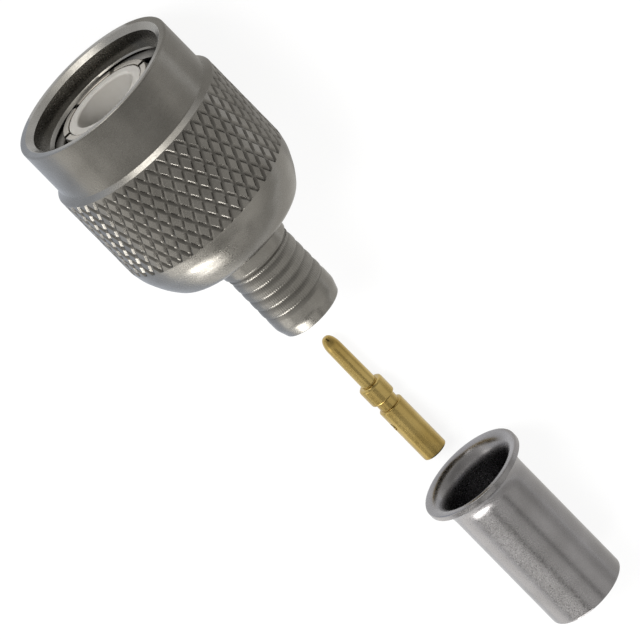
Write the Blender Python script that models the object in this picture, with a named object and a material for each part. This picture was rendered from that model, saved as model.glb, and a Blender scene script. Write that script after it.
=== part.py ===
"""A crimp coaxial plug set laid out in a line: plug with coupling nut, centre contact and ferrule.

Sizes are millimetres unless their name says otherwise, and MM turns them into Blender's metres.
Lengths along the plug run from the nut's front rim (0) towards the cable.
"""

import math

import bmesh
import bpy

MM = 0.001

# Clearances
PRESS_GAP = 0.05  # radial, between pieces pressed together
FACE_GAP = 0.05  # axial, between pieces that butt
RUN_GAP = 0.15  # radial, between the nut and what it turns round
NUT_PLAY = 0.25  # axial travel of the nut each way
PLAY_MARGIN = 0.05  # left over at the end of that travel
GASKET_GAP = 0.1  # radial, round the stretched gasket
CABLE_GAP = 0.11  # radial, ferrule bore over the tail, for the braid

# Coupling nut, outside
RIM_RADIUS = 7.15
RIM_EDGE = 0.12
FRONT_BAND = 4.17
SHOULDER_LENGTH = 0.9
KNURL_RADIUS = 7.6
KNURL_LENGTH = 7.5
KNURL_DEPTH = 0.24
KNURL_STARTS = 46  # grooves of each hand
KNURL_TIERS = 4  # whole diamonds along the knurl
KNURL_FLAT = 0.66  # share of each diamond that is left flat
KNURL_RUNOUT = 0.08  # slope at either end of the knurl
BEAD_LENGTH = 0.38
BEAD_DROP = 0.08
REAR_CHAMFER = 0.8
REAR_RADIUS = 7.02
REAR_BAND = 0.2
DOME_LENGTH = 2.7
DOME_DROP = 2.1  # how far the rounded rear comes in before it turns flat
DOME_STEPS = 7

# Coupling nut, inside
MOUTH_RADIUS = 6.4
MOUTH_CHAMFER = 0.35
COUNTERBORE_RADIUS = 6.1
COUNTERBORE_DEPTH = 1.62
THREAD_MINOR_RADIUS = 5.15
THREAD_MAJOR_RADIUS = 5.56
RELIEF_EXTRA = 0.1  # thread run-out, beyond the major radius
BACK_WALL = 2.5

# Body, held in the nut by its flange
FLANGE_CLEARANCE = 0.1  # radial, so that the flange passes through the thread
FLANGE_LENGTH = 4.1
FLANGE_WEB = 0.85  # solid flange behind the insulators
SOCKET_DEPTH = 1.4  # how deep the slotted sleeve is pressed in
COLLAR_RADIUS = 3.02
COLLAR_LENGTH = 1.6
TAIL_RADIUS = 2.88
TAIL_WALL = 0.73  # from the ridges' crests to the bore
UNDERCUT = 0.22
FIRST_RIDGE = 0.6
RIDGE_PITCH = 0.94
RIDGE_COUNT = 5
RIDGE_DEPTH = 0.13
RIDGE_RISE = 0.35  # share of the pitch
RIDGE_FALL = 0.2  # share of the pitch
TAIL_PLAIN = 2.15
TAIL_CHAMFER = 0.28
EDGE = 0.1  # ordinary broken edge

# Retaining ring
RING_THICKNESS = 0.5
RING_BITE = 0.45  # how far it reaches into the nut's groove
RING_GROOVE_DEPTH = 0.75
RING_GAP = 0.1  # radial, at the bottom of either groove
RING_SETBACK = 0.75  # flange left behind its groove
RING_OPENING = 1.4

# Slotted outer contact and insulators
SLEEVE_WALL = 0.55
SLEEVE_DEPTH = 1.35
SLEEVE_BULGE = 0.05
SLEEVE_BULGE_AT = 0.4  # behind the tip
SLEEVE_BULGE_END = 1.0
SLOT_WIDTH = 0.5
SLOT_LENGTH = 5.2
SLOT_COUNT = 6
INSULATOR_RADIUS = 3.5
INSULATOR_DEPTH = 1.4
INSULATOR_BORE_RADIUS = 2.7
INSULATOR_BORE_DEPTH = 5.5
REAR_INSULATOR_LENGTH = 1.5
CONTACT_GAP = 0.08  # radial, insulator hole round the centre contact

# Gasket
GASKET_THICKNESS = 1.0

# Centre contact
CONTACT_TIP_RADIUS = 0.15  # flat at the end of the rounded nose
CONTACT_NOSE = 0.85
NOSE_STEPS = 4
CONTACT_SHAFT_FRONT = 0.6
CONTACT_SHAFT_REAR = 0.65
CONTACT_SHAFT_END = 5.08
CONTACT_COLLAR_RADIUS = 1.05
CONTACT_COLLAR_LENGTH = 1.6
CONTACT_NECK_RADIUS = 0.83
CONTACT_NECK_LENGTH = 0.75
CONTACT_LENGTH = 12.6
CONTACT_BORE_RADIUS = 0.66
CONTACT_BORE_DEPTH = 4.3
CONTACT_EDGE = 0.12
SIGHT_HOLE_RADIUS = 0.36
SIGHT_HOLE_FROM_FLOOR = 0.58  # from the cable bore's inner end to the hole's middle
SIGHT_HOLE_TURN = -78.0  # degrees from the top, towards -Y

# Ferrule
FERRULE_WALL = 0.33
FERRULE_LENGTH = 13.7
FLARE_RADIUS = 4.375
FLARE_BAND = 0.45
FLARE_LENGTH = 1.75
FLARE_STEPS = 6
LIP = 0.25  # flat front of the flare, round its bell mouth
BELL_LENGTH = 1.6

# Layout along the line, between neighbouring ends
PLUG_TO_CONTACT = 4.6
CONTACT_TO_FERRULE = 1.95
CONTACT_OFF_LINE = -0.7  # the loose contact lies a little beside the plug's line

STAND_SIZE = 2.0  # arms of the empties that carry the pieces
ROUND_STEPS = 36
CONTACT_STEPS = 28
SHARP_ABOVE = 32  # degrees between faces
HOLE_STEPS = 16
TOOL_MARGIN = 1.0  # how far a cutter stands out of what it cuts

# Stations along the plug
knurl_start = FRONT_BAND + SHOULDER_LENGTH
knurl_end = knurl_start + KNURL_LENGTH
bead_end = knurl_end + BEAD_LENGTH
rear_start = bead_end + REAR_CHAMFER
dome_start = rear_start + REAR_BAND
nut_end = dome_start + DOME_LENGTH
wall_front = nut_end - BACK_WALL
flange_rear = wall_front - NUT_PLAY - PLAY_MARGIN
flange_front = flange_rear - FLANGE_LENGTH
groove_width = RING_THICKNESS + 2 * (NUT_PLAY + PLAY_MARGIN)
groove_rear = flange_rear - RING_SETBACK
groove_front = groove_rear - groove_width
ring_middle = (groove_front + groove_rear) / 2
bore_end = flange_rear - FLANGE_WEB
socket_end = flange_front + SOCKET_DEPTH
gasket_rear = flange_front - FACE_GAP
gasket_front = gasket_rear - GASKET_THICKNESS
thread_end = gasket_front - RUN_GAP
collar_end = nut_end + COLLAR_LENGTH
ridges_start = collar_end + FIRST_RIDGE
ridges_end = ridges_start + (RIDGE_COUNT - 1) * RIDGE_PITCH
tail_end = ridges_end + TAIL_PLAIN

# Radii that follow from their neighbours
knurl_floor = KNURL_RADIUS - KNURL_DEPTH
cavity_radius = THREAD_MINOR_RADIUS
flange_radius = THREAD_MINOR_RADIUS - FLANGE_CLEARANCE
neck_bore_radius = COLLAR_RADIUS + RUN_GAP
sleeve_inner = INSULATOR_RADIUS + PRESS_GAP
sleeve_outer = sleeve_inner + SLEEVE_WALL
socket_radius = sleeve_outer + PRESS_GAP
body_bore_radius = INSULATOR_RADIUS + PRESS_GAP
tail_bore_radius = TAIL_RADIUS - TAIL_WALL
groove_floor = flange_radius - RING_GROOVE_DEPTH
ring_inner = groove_floor + RING_GAP
ring_outer = cavity_radius + RING_BITE
contact_hole_radius = CONTACT_COLLAR_RADIUS + CONTACT_GAP
ferrule_bore_radius = TAIL_RADIUS + CABLE_GAP
ferrule_radius = ferrule_bore_radius + FERRULE_WALL

# The ferrule lies on its flare and on the far end of its barrel
ferrule_tilt = math.atan((FLARE_RADIUS - ferrule_radius) / (FERRULE_LENGTH - EDGE - FLARE_BAND))


def clear_scene():
    for obj in list(bpy.data.objects):
        bpy.data.objects.remove(obj, do_unlink=True)


def material(name, colour, roughness, metallic):
    made = bpy.data.materials.new(name)
    made.use_nodes = True
    shader = made.node_tree.nodes["Principled BSDF"]
    shader.inputs["Base Color"].default_value = (*colour, 1.0)
    shader.inputs["Roughness"].default_value = roughness
    shader.inputs["Metallic"].default_value = metallic
    made.diffuse_color = (*colour, 1.0)
    return made


def add_object(name, bm, finish, parent):
    """Closes off a bmesh as a named object, smooth except at its real edges."""
    bmesh.ops.remove_doubles(bm, verts=bm.verts, dist=1e-7)
    bmesh.ops.recalc_face_normals(bm, faces=bm.faces)
    mesh = bpy.data.meshes.new(name)
    bm.to_mesh(mesh)
    bm.free()
    mesh.shade_smooth()
    mesh.set_sharp_from_angle(angle=math.radians(SHARP_ABOVE))
    mesh.materials.append(finish)
    obj = bpy.data.objects.new(name, mesh)
    obj.parent = parent
    bpy.context.scene.collection.objects.link(obj)
    return obj


def turned(name, section, finish, parent, steps=ROUND_STEPS):
    """Turns a section of (x, radius) points about X. It closes on itself, or ends twice on the axis."""
    bm = bmesh.new()
    points = [bm.verts.new((x * MM, radius * MM, 0.0)) for x, radius in section]
    pairs = list(zip(points, points[1:]))
    if section[0][1] > 0:
        pairs.append((points[-1], points[0]))
    edges = [bm.edges.new(pair) for pair in pairs]
    bmesh.ops.spin(
        bm,
        geom=points + edges,
        cent=(0, 0, 0),
        axis=(1, 0, 0),
        angle=math.tau,
        steps=steps,
        use_merge=True,
    )
    return add_object(name, bm, finish, parent)


def quarter(x_start, r_start, x_end, r_end, steps, leaves_along_x=True):
    """Points of a quarter ellipse between two (x, radius) corners, both ends included."""
    points = []
    for step in range(steps + 1):
        angle = math.pi / 2 * step / steps
        along, across = math.sin(angle), 1 - math.cos(angle)
        if not leaves_along_x:
            along, across = across, along
        points.append((x_start + (x_end - x_start) * along, r_start + (r_end - r_start) * across))
    return points


def cut(target, tool):
    """Takes a hidden tool away from an object."""
    tool.hide_render = True
    tool.display_type = "WIRE"
    modifier = target.modifiers.new(f"cut_{tool.name}", "BOOLEAN")
    modifier.operation = "DIFFERENCE"
    modifier.solver = "EXACT"
    modifier.object = tool


def box_tool(name, low, high, turn, parent):
    """A block between two corners, turned about X."""
    bm = bmesh.new()
    bmesh.ops.create_cube(bm, size=1.0)
    for vert in bm.verts:
        for axis in range(3):
            vert.co[axis] = (low[axis] if vert.co[axis] < 0 else high[axis]) * MM
    tool = add_object(name, bm, nickel, parent)
    tool.rotation_euler = (turn, 0.0, 0.0)
    return tool


def nut_outside_front():
    """From the mouth's inner edge, round the rim, back to the knurl."""
    return [
        (0.0, MOUTH_RADIUS),
        (0.0, RIM_RADIUS - RIM_EDGE),
        (RIM_EDGE, RIM_RADIUS),
        (FRONT_BAND, RIM_RADIUS),
        (knurl_start - KNURL_RUNOUT, KNURL_RADIUS),
        (knurl_start, knurl_floor),
    ]


def nut_outside_rear():
    """From the knurl's rear, over the bead and the dome, to the flat round the neck."""
    return [
        (knurl_end, knurl_floor),
        (knurl_end + KNURL_RUNOUT, KNURL_RADIUS - BEAD_DROP),
        (bead_end, KNURL_RADIUS - BEAD_DROP),
        (rear_start, REAR_RADIUS),
        *quarter(dome_start, REAR_RADIUS, nut_end, REAR_RADIUS - DOME_DROP, DOME_STEPS),
        (nut_end, neck_bore_radius + EDGE),
    ]


def nut_inside():
    """From the neck bore forwards to the mouth."""
    ring_groove = ring_outer + RING_GAP
    half = RING_THICKNESS / 2 + PLAY_MARGIN
    relief = THREAD_MAJOR_RADIUS + RELIEF_EXTRA
    lead_in = COUNTERBORE_DEPTH + THREAD_MAJOR_RADIUS - THREAD_MINOR_RADIUS
    return [
        (nut_end - EDGE, neck_bore_radius),
        (wall_front, neck_bore_radius),
        (wall_front, cavity_radius),
        (ring_middle + half, cavity_radius),
        (ring_middle + half, ring_groove),
        (ring_middle - half, ring_groove),
        (ring_middle - half, cavity_radius),
        (gasket_rear, cavity_radius),
        (gasket_rear, relief),
        (thread_end, relief),
        (thread_end, THREAD_MINOR_RADIUS),
        (lead_in, THREAD_MINOR_RADIUS),
        (COUNTERBORE_DEPTH, THREAD_MAJOR_RADIUS),
        (COUNTERBORE_DEPTH, COUNTERBORE_RADIUS),
        (MOUTH_CHAMFER, COUNTERBORE_RADIUS),
    ]


def knurl_faces(bm, front, rear):
    """Flat-topped diamonds between two rings. Grooves cross at the lattice points (i, j), i + j even."""
    columns = 2 * KNURL_STARTS
    rows = 2 * KNURL_TIERS

    def point(column, row, radius):
        angle = math.tau * column / columns
        x = knurl_start + KNURL_LENGTH * row / rows
        return (x * MM, radius * math.cos(angle) * MM, radius * math.sin(angle) * MM)

    low = {}
    for index in range(KNURL_STARTS):
        low[2 * index, 0] = front[index]
        low[2 * index, rows] = rear[index]
    for row in range(1, rows):
        for column in range(row % 2, columns, 2):
            low[column, row] = bm.verts.new(point(column, row, knurl_floor))

    for row in range(rows + 1):
        for column in range((row + 1) % 2, columns, 2):
            around = [(-1, 0), (0, 1), (1, 0), (0, -1)]
            around = [(c, r) for c, r in around if 0 <= row + r <= rows]
            corners = [low[(column + c) % columns, row + r] for c, r in around]
            tops = [
                bm.verts.new(point(column + c * KNURL_FLAT, row + r * KNURL_FLAT, KNURL_RADIUS))
                for c, r in around
            ]
            bm.faces.new(tops)
            for a in range(len(around)):
                b = (a + 1) % len(around)
                bm.faces.new((corners[a], corners[b], tops[b], tops[a]))


def coupling_nut(parent):
    bm = bmesh.new()

    def ring(x, radius):
        made = []
        for step in range(KNURL_STARTS):
            angle = math.tau * step / KNURL_STARTS
            made.append(bm.verts.new((x * MM, radius * math.cos(angle) * MM, radius * math.sin(angle) * MM)))
        return made

    def bridge(first, second):
        for step in range(KNURL_STARTS):
            after = (step + 1) % KNURL_STARTS
            bm.faces.new((first[step], first[after], second[after], second[step]))

    front = [ring(x, radius) for x, radius in nut_outside_front()]
    rear = [ring(x, radius) for x, radius in nut_outside_rear()]
    inside = [ring(x, radius) for x, radius in nut_inside()]
    for chain in (front, rear + inside + front[:1]):
        for first, second in zip(chain, chain[1:]):
            bridge(first, second)
    knurl_faces(bm, front[-1], rear[0])
    return add_object("coupling_nut", bm, nickel, parent)


def tail_outline():
    """The ridged crimp tail from the nut's neck to its end."""
    points = [
        (collar_end - EDGE, COLLAR_RADIUS),
        (collar_end, COLLAR_RADIUS - EDGE),
        (collar_end, TAIL_RADIUS - RIDGE_DEPTH),
        (collar_end + UNDERCUT, TAIL_RADIUS - RIDGE_DEPTH),
    ]
    for ridge in range(RIDGE_COUNT):
        groove = ridges_start + ridge * RIDGE_PITCH
        before = groove - RIDGE_PITCH
        crest = max(before + RIDGE_RISE * RIDGE_PITCH, collar_end + 2 * UNDERCUT - EDGE)
        points += [
            (crest, TAIL_RADIUS),
            (groove - RIDGE_FALL * RIDGE_PITCH, TAIL_RADIUS),
            (groove, TAIL_RADIUS - RIDGE_DEPTH),
        ]
    points += [
        (ridges_end + RIDGE_RISE * RIDGE_PITCH, TAIL_RADIUS),
        (tail_end - 2 * TAIL_CHAMFER, TAIL_RADIUS),
        (tail_end, TAIL_RADIUS - TAIL_CHAMFER),
    ]
    return points


def connector_body(parent):
    section = [
        (flange_front, flange_radius - EDGE),
        (flange_front + EDGE, flange_radius),
        (groove_front, flange_radius),
        (groove_front, groove_floor),
        (groove_rear, groove_floor),
        (groove_rear, flange_radius),
        (flange_rear - EDGE, flange_radius),
        (flange_rear, flange_radius - EDGE),
        (flange_rear, COLLAR_RADIUS),
        *tail_outline(),
        (tail_end, tail_bore_radius + EDGE),
        (tail_end - EDGE, tail_bore_radius),
        (bore_end, tail_bore_radius),
        (bore_end, body_bore_radius),
        (socket_end + FACE_GAP, body_bore_radius),
        (socket_end + FACE_GAP, socket_radius),
        (flange_front, socket_radius),
    ]
    return turned("connector_body", section, nickel, parent)


def outer_contact(parent):
    """A sleeve sprung open by slots, slightly thicker at its tip."""
    section = [
        (SLEEVE_DEPTH, sleeve_inner + EDGE),
        (SLEEVE_DEPTH, sleeve_outer - EDGE),
        (SLEEVE_DEPTH + EDGE, sleeve_outer),
        (SLEEVE_DEPTH + SLEEVE_BULGE_AT, sleeve_outer + SLEEVE_BULGE),
        (SLEEVE_DEPTH + SLEEVE_BULGE_END, sleeve_outer),
        (socket_end, sleeve_outer),
        (socket_end, sleeve_inner),
        (SLEEVE_DEPTH + EDGE, sleeve_inner),
    ]
    sleeve = turned("outer_contact", section, bright_nickel, parent)
    reach = sleeve_outer + TOOL_MARGIN
    half = SLOT_WIDTH / 2
    low = (SLEEVE_DEPTH - TOOL_MARGIN, -half, -reach)
    high = (SLEEVE_DEPTH + SLOT_LENGTH, half, reach)
    for pair in range(SLOT_COUNT // 2):
        cut(sleeve, box_tool(f"slot_tool_{pair}", low, high, math.tau * pair / SLOT_COUNT, parent))
    return sleeve


def insulators(parent):
    rear_front = bore_end - FACE_GAP - REAR_INSULATOR_LENGTH
    bore_floor = INSULATOR_DEPTH + INSULATOR_BORE_DEPTH
    turned(
        "front_insulator",
        [
            (INSULATOR_DEPTH, INSULATOR_BORE_RADIUS + EDGE),
            (INSULATOR_DEPTH, INSULATOR_RADIUS - EDGE),
            (INSULATOR_DEPTH + EDGE, INSULATOR_RADIUS),
            (rear_front - FACE_GAP, INSULATOR_RADIUS),
            (rear_front - FACE_GAP, contact_hole_radius),
            (bore_floor, contact_hole_radius),
            (bore_floor, INSULATOR_BORE_RADIUS),
            (INSULATOR_DEPTH + EDGE, INSULATOR_BORE_RADIUS),
        ],
        white_plastic,
        parent,
    )
    turned(
        "rear_insulator",
        [
            (rear_front, contact_hole_radius),
            (rear_front, INSULATOR_RADIUS),
            (bore_end - FACE_GAP, INSULATOR_RADIUS),
            (bore_end - FACE_GAP, contact_hole_radius),
        ],
        white_plastic,
        parent,
    )


def gasket(parent):
    """A flat silicone ring round the sleeve, against the body's flange."""
    inner = sleeve_outer + GASKET_GAP
    outer = flange_radius - GASKET_GAP
    middle = (inner + outer) / 2
    half = (outer - inner) / 2
    section = [
        (gasket_front, middle + half / 2),
        (gasket_front + half / 2, outer),
        (gasket_rear, outer),
        (gasket_rear, inner),
        (gasket_front + half / 2, inner),
        (gasket_front, middle - half / 2),
    ]
    turned("gasket", section, silicone, parent)


def retaining_ring(parent):
    """An open wire-like ring that snaps into both grooves."""
    front = ring_middle - RING_THICKNESS / 2
    rear = ring_middle + RING_THICKNESS / 2
    section = [(front, ring_inner), (front, ring_outer), (rear, ring_outer), (rear, ring_inner)]
    ring = turned("retaining_ring", section, spring_steel, parent)
    half = RING_OPENING / 2
    low = (front - TOOL_MARGIN, -half, 0.0)
    high = (rear + TOOL_MARGIN, half, ring_outer + TOOL_MARGIN)
    cut(ring, box_tool("ring_gap_tool", low, high, 0.0, parent))


def centre_contact(parent):
    collar = CONTACT_SHAFT_END
    collar_rear = collar + CONTACT_COLLAR_LENGTH
    barrel = collar_rear + CONTACT_NECK_LENGTH
    barrel_radius = CONTACT_COLLAR_RADIUS
    bore_floor = CONTACT_LENGTH - CONTACT_BORE_DEPTH
    nose = quarter(0.0, CONTACT_TIP_RADIUS, CONTACT_NOSE, CONTACT_SHAFT_FRONT, NOSE_STEPS, leaves_along_x=False)
    section = [
        (0.0, 0.0),
        *nose,
        (collar, CONTACT_SHAFT_REAR),
        (collar, barrel_radius - CONTACT_EDGE),
        (collar + CONTACT_EDGE, barrel_radius),
        (collar_rear - CONTACT_EDGE, barrel_radius),
        (collar_rear, barrel_radius - CONTACT_EDGE),
        (collar_rear, CONTACT_NECK_RADIUS),
        (barrel, CONTACT_NECK_RADIUS),
        (barrel, barrel_radius - CONTACT_EDGE),
        (barrel + CONTACT_EDGE, barrel_radius),
        (CONTACT_LENGTH - EDGE, barrel_radius),
        (CONTACT_LENGTH, barrel_radius - EDGE),
        (CONTACT_LENGTH, CONTACT_BORE_RADIUS + EDGE),
        (CONTACT_LENGTH - EDGE, CONTACT_BORE_RADIUS),
        (bore_floor, CONTACT_BORE_RADIUS),
        (bore_floor - CONTACT_BORE_RADIUS / 2, 0.0),
    ]
    pin = turned("center_contact", section, gold, parent, steps=CONTACT_STEPS)
    bm = bmesh.new()
    bmesh.ops.create_cone(
        bm,
        cap_ends=True,
        segments=HOLE_STEPS,
        radius1=SIGHT_HOLE_RADIUS * MM,
        radius2=SIGHT_HOLE_RADIUS * MM,
        depth=2 * barrel_radius * MM,
    )
    bmesh.ops.translate(bm, verts=bm.verts, vec=(0.0, 0.0, barrel_radius * MM))
    tool = add_object("sight_hole_tool", bm, gold, parent)
    tool.location = ((bore_floor + SIGHT_HOLE_FROM_FLOOR) * MM, 0.0, 0.0)
    tool.rotation_euler = (math.radians(-SIGHT_HOLE_TURN), 0.0, 0.0)
    cut(pin, tool)


def ferrule_section():
    """A thin tube whose end is flared to a flange, with a bell mouth."""
    flare_end = FLARE_BAND + FLARE_LENGTH
    flare = quarter(flare_end, ferrule_radius, FLARE_BAND, FLARE_RADIUS, FLARE_STEPS)
    bell = quarter(0.0, FLARE_RADIUS - LIP, BELL_LENGTH, ferrule_bore_radius, FLARE_STEPS, leaves_along_x=False)
    return [
        (0.0, FLARE_RADIUS - EDGE),
        (EDGE, FLARE_RADIUS),
        *reversed(flare),
        (FERRULE_LENGTH - EDGE, ferrule_radius),
        (FERRULE_LENGTH, ferrule_radius - EDGE),
        (FERRULE_LENGTH, ferrule_bore_radius),
        *reversed(bell),
    ]


def crimp_ferrule(parent):
    turned("crimp_ferrule", ferrule_section(), ferrule_nickel, parent)


def stand(name, x, height, tilt=0.0, beside=0.0):
    """An empty on a piece's axis, which carries the piece."""
    empty = bpy.data.objects.new(name, None)
    empty.location = (x * MM, beside * MM, height * MM)
    empty.rotation_euler = (0.0, tilt, 0.0)
    empty.empty_display_size = STAND_SIZE * MM
    bpy.context.scene.collection.objects.link(empty)
    return empty


def lay_out():
    """Plug, contact and ferrule in one line on the ground, centred on the origin."""
    contact_x = tail_end + PLUG_TO_CONTACT
    ferrule_x = contact_x + CONTACT_LENGTH + CONTACT_TO_FERRULE
    reach = max(x * math.cos(ferrule_tilt) + r * math.sin(ferrule_tilt) for x, r in ferrule_section())
    start = -(ferrule_x + reach) / 2
    plug = stand("plug_axis", start, KNURL_RADIUS)
    contact = stand("contact_axis", start + contact_x, CONTACT_COLLAR_RADIUS, beside=CONTACT_OFF_LINE)
    rim_height = FLARE_RADIUS * math.cos(ferrule_tilt) + FLARE_BAND * math.sin(ferrule_tilt)
    ferrule = stand("ferrule_axis", start + ferrule_x, rim_height, ferrule_tilt)

    coupling_nut(plug)
    connector_body(plug)
    outer_contact(plug)
    insulators(plug)
    gasket(plug)
    retaining_ring(plug)
    centre_contact(contact)
    crimp_ferrule(ferrule)


clear_scene()
nickel = material("satin_nickel", (0.52, 0.50, 0.47), 0.34, 1.0)
bright_nickel = material("bright_nickel", (0.66, 0.64, 0.60), 0.26, 1.0)
ferrule_nickel = material("cool_nickel", (0.55, 0.55, 0.57), 0.38, 1.0)
white_plastic = material("white_ptfe", (0.72, 0.71, 0.68), 0.45, 0.0)
silicone = material("silicone", (0.55, 0.20, 0.13), 0.6, 0.0)
spring_steel = material("spring_steel", (0.45, 0.45, 0.46), 0.3, 1.0)
gold = material("gold_plate", (0.62, 0.48, 0.20), 0.3, 1.0)
lay_out()
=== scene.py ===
# %% [markdown]
# # A crimp coaxial plug, its pin and its ferrule
# The set lies in one line on a pale table, seen from above. The engineering model gives every
# piece its place and its outer sizes. This script gives the pieces their finish: rounded
# edges, the fine knurl, the thread, the ribs on the tail, and the metals and plastic.
#
# The frame comes first, because each surface below is placed by it.

import math

import bpy
import numpy as np
from mathutils import Matrix, Vector


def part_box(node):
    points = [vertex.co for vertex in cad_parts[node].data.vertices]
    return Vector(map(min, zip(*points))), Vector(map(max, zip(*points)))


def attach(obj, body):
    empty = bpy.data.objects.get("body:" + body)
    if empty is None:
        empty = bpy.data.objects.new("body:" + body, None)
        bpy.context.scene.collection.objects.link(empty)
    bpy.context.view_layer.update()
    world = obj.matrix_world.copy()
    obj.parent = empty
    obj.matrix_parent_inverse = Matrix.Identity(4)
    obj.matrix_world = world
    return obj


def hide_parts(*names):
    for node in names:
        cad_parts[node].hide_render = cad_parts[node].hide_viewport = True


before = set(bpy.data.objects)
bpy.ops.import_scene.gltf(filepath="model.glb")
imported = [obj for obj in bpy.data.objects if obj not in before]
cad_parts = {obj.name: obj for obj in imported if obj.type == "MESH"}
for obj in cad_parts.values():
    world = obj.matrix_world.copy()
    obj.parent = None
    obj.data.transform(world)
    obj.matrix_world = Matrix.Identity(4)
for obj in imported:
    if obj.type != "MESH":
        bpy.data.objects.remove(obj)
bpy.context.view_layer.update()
MM = 0.001
print("nodes", sorted(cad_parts))

# %% [markdown]
# ## Places
# Three axes carry everything: the plug's, the pin's and the ferrule's. The boxes of the
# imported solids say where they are. All sizes from here on are millimetres, and they become
# metres only when a mesh is made.

# %% Axes of the three pieces
nut_low, nut_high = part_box("coupling_nut")
pin_low, pin_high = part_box("center_contact")
ferrule_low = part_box("crimp_ferrule")[0]
KNURL_RADIUS = (nut_high.z - nut_low.z) / 2 / MM
PLUG_START = np.array([nut_low.x, 0.0, (nut_low.z + nut_high.z) / 2]) / MM
PIN_START = np.array([pin_low.x, (pin_low.y + pin_high.y) / 2, (pin_low.z + pin_high.z) / 2]) / MM
print("plug starts at", PLUG_START.round(2), "pin at", PIN_START.round(2))

# %% [markdown]
# ## The ferrule's lean
# The ferrule lies on the rim of its flare and on its far end, which is thinner, so its axis
# leans a little. Its sizes give the angle.

# %% The ferrule's lean
TAIL_RADIUS = 2.88
FERRULE_BORE = TAIL_RADIUS + 0.11
FERRULE_WALL = 0.33
FERRULE_RADIUS = FERRULE_BORE + FERRULE_WALL
FERRULE_LENGTH = 13.7
FLARE_RADIUS = 4.375
FLARE_BAND = 0.45
FLARE_LENGTH = 1.75
FERRULE_EDGE = 0.1
lean_run = FERRULE_LENGTH - FERRULE_EDGE - FLARE_BAND
FERRULE_TILT = math.atan((FLARE_RADIUS - FERRULE_RADIUS) / lean_run)
rim_height = FLARE_RADIUS * math.cos(FERRULE_TILT) + FLARE_BAND * math.sin(FERRULE_TILT)
mouth_reach = FLARE_RADIUS * math.sin(FERRULE_TILT)
FERRULE_START = np.array([ferrule_low.x / MM + mouth_reach, 0.0, rim_height])
print("ferrule leans", round(math.degrees(FERRULE_TILT), 2), "degrees")

# %% [markdown]
# ## Camera
# The photograph looks down on the set from the side of its mouths, about 70 degrees above
# the table, and is turned so that the line of pieces runs down to the right. A long lens
# far away keeps the three mouths' ellipses nearly alike.

# %% Camera
SIGHT_ELEVATION = math.radians(69.8)
LINE_ANGLE = math.radians(-45.55)
PIXELS_PER_MM = 13.45
IMAGE_SIDE = 640
CAMERA_DISTANCE = 2.1
LOOK_AT = Vector((-3.2, -0.03, PLUG_START[2])) * MM

away = Vector((-math.cos(SIGHT_ELEVATION), 0.0, math.sin(SIGHT_ELEVATION)))
along_line = Vector((math.sin(SIGHT_ELEVATION), 0.0, math.cos(SIGHT_ELEVATION)))
across_line = Vector((0.0, 1.0, 0.0))
right = math.cos(LINE_ANGLE) * along_line - math.sin(LINE_ANGLE) * across_line
up = math.sin(LINE_ANGLE) * along_line + math.cos(LINE_ANGLE) * across_line

camera_data = bpy.data.cameras.new("camera")
camera_data.sensor_width = 36.0
camera_data.lens = camera_data.sensor_width * CAMERA_DISTANCE / (IMAGE_SIDE / PIXELS_PER_MM * MM)
camera_data.clip_start = 0.05
camera_data.clip_end = 20.0
camera = bpy.data.objects.new("camera", camera_data)
camera.matrix_world = Matrix((
    (right.x, up.x, away.x, 0.0),
    (right.y, up.y, away.y, 0.0),
    (right.z, up.z, away.z, 0.0),
    (0.0, 0.0, 0.0, 1.0),
))
camera.location = LOOK_AT + CAMERA_DISTANCE * away
bpy.context.scene.collection.objects.link(camera)
bpy.context.scene.camera = camera
bpy.context.scene.view_settings.view_transform = "Standard"
print("lens", round(camera_data.lens), "mm")

# %% [markdown]
# ## Colours and nodes
# Colours are written as the hex codes that a screen shows. One function turns them to the
# linear values that Blender works in, and one small function adds a node.

# %% Colour and node helpers
def linear(code):
    """An sRGB hex colour as linear RGBA: c / 12.92 below 0.04045, else ((c + 0.055) / 1.055) ** 2.4."""
    shown = np.array([int(code[i:i + 2], 16) / 255 for i in (1, 3, 5)])
    low, high = shown / 12.92, ((shown + 0.055) / 1.055) ** 2.4
    return (*np.where(shown <= 0.04045, low, high).tolist(), 1.0)


def add(tree, kind, settings, inputs):
    """Adds one node, sets its properties and gives each input a value or a link."""
    node = tree.nodes.new(kind)
    for name, value in settings.items():
        setattr(node, name, value)
    for name, value in inputs.items():
        if isinstance(value, bpy.types.NodeSocket):
            tree.links.new(value, node.inputs[name])
        else:
            node.inputs[name].default_value = value
    return node


def new_material(name):
    """An empty node material and its tree."""
    made = bpy.data.materials.new(name)
    made.use_nodes = True
    made.node_tree.nodes.clear()
    return made, made.node_tree


print("mid grey", [round(c, 3) for c in linear("#808080")])

# %% [markdown]
# ## Table, world and lamps
# The photograph's ground is plain white. The table and the world look white to the camera
# and in reflections, while the light on the set stays at a plain level, and the table still
# takes the soft shadow.

# %% Is the ray one that shows the background?
def background_rays(tree):
    """1 for camera, glossy and transmission rays, else 0."""
    path = add(tree, "ShaderNodeLightPath", {}, {})
    some = add(tree, "ShaderNodeMath", {"operation": "MAXIMUM"},
               {0: path.outputs["Is Camera Ray"], 1: path.outputs["Is Glossy Ray"]})
    both = add(tree, "ShaderNodeMath", {"operation": "MAXIMUM"},
               {0: some.outputs[0], 1: path.outputs["Is Transmission Ray"]})
    return both.outputs[0]


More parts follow.
